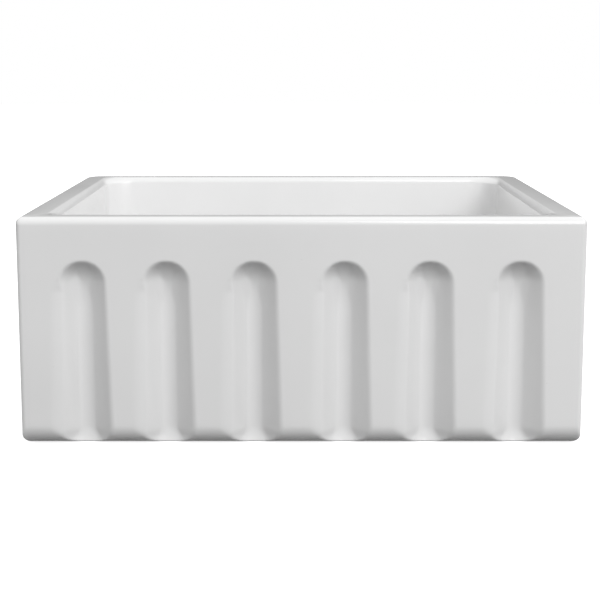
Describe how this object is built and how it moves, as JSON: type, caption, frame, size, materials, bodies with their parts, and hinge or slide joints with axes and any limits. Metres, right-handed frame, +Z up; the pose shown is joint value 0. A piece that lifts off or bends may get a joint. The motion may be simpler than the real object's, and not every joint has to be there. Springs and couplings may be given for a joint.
{
  "type": "apron front kitchen sink",
  "caption": "Rectangular apron-front sink with round-headed flutes down the apron, hollowed side ledges and a basket strainer in the floor.",
  "frame": {"origin": "middle of the surface that the sink's unglazed foot stands on", "axes": "+X to the right of someone facing the apron, +Y from the apron to the back, +Z up"},
  "size_m": [0.61, 0.457, 0.3004],
  "materials": {
    "white_fireclay_glaze": "gloss",
    "stainless_steel": "satin",
    "plated_brass": "gloss",
    "cast_zinc": "satin",
    "black_rubber": "matte",
    "putty_white": "matte",
    "fibre_board": "matte",
    "clear_nylon": "satin"
  },
  "bodies": {
    "sink": {"sink_body": "white_fireclay_glaze", "strainer_body": "stainless_steel", "flange_seal": "putty_white", "rubber_gasket": "black_rubber", "friction_ring": "fibre_board", "lock_nut": "cast_zinc", "outlet_spider": "stainless_steel", "outlet_washer": "clear_nylon", "coupling_nut": "plated_brass"},
    "basket_stem": {"basket_post": "stainless_steel", "basket_knob": "plated_brass", "stem_nut": "plated_brass", "snap_tip": "clear_nylon"},
    "basket": {"basket_cup": "stainless_steel", "stopper_seal": "black_rubber", "seal_plate": "stainless_steel"}
  },
  "joints": [
    {"name": "basket_lift", "type": "slide", "parent": "sink", "child": "basket_stem", "axis": [0, 0, 1], "range_m": [0, 0.295]},
    {"name": "basket_spin", "type": "hinge", "parent": "basket_stem", "child": "basket", "pos_m": [0, 0, 0], "axis": [0, 0, 1], "continuous": true}
  ]
}
